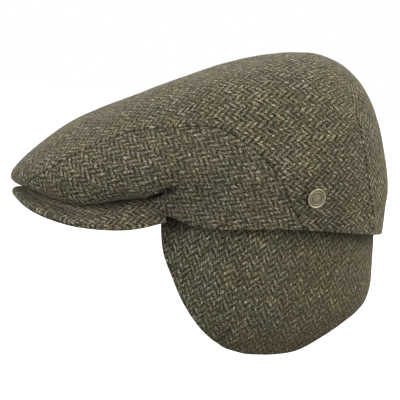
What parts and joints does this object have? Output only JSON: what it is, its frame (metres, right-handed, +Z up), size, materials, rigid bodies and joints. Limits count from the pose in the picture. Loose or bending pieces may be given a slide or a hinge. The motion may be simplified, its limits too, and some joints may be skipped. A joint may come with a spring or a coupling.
{
  "type": "flat cap with earflaps",
  "caption": "Tweed flat cap in a duckbill shape with a stiff peak, leaf-shaped side panels, a hanging ear flap round the nape and a snap button on the left.",
  "frame": {"origin": "centre of the head opening in the plane of the rim, where a head carries the cap", "axes": "+Z up through the crown, -Y to the front over the peak, +X to the wearer's left, the side with the button"},
  "size_m": [0.1838, 0.2737, 0.2112],
  "materials": {
    "cloth": "herringbone wool tweed in brown, grey and green yarns",
    "flap_cloth": "the same herringbone wool tweed, doubled and turned at its edge",
    "button_metal": "antiqued pewter grey, dark between its rings"
  },
  "bodies": {
    "root": {"crown_top": "cloth", "side_panel_left": "cloth", "side_panel_right": "cloth", "peak": "cloth", "ear_flap": "flap_cloth", "button": "button_metal"}
  },
  "joints": []
}
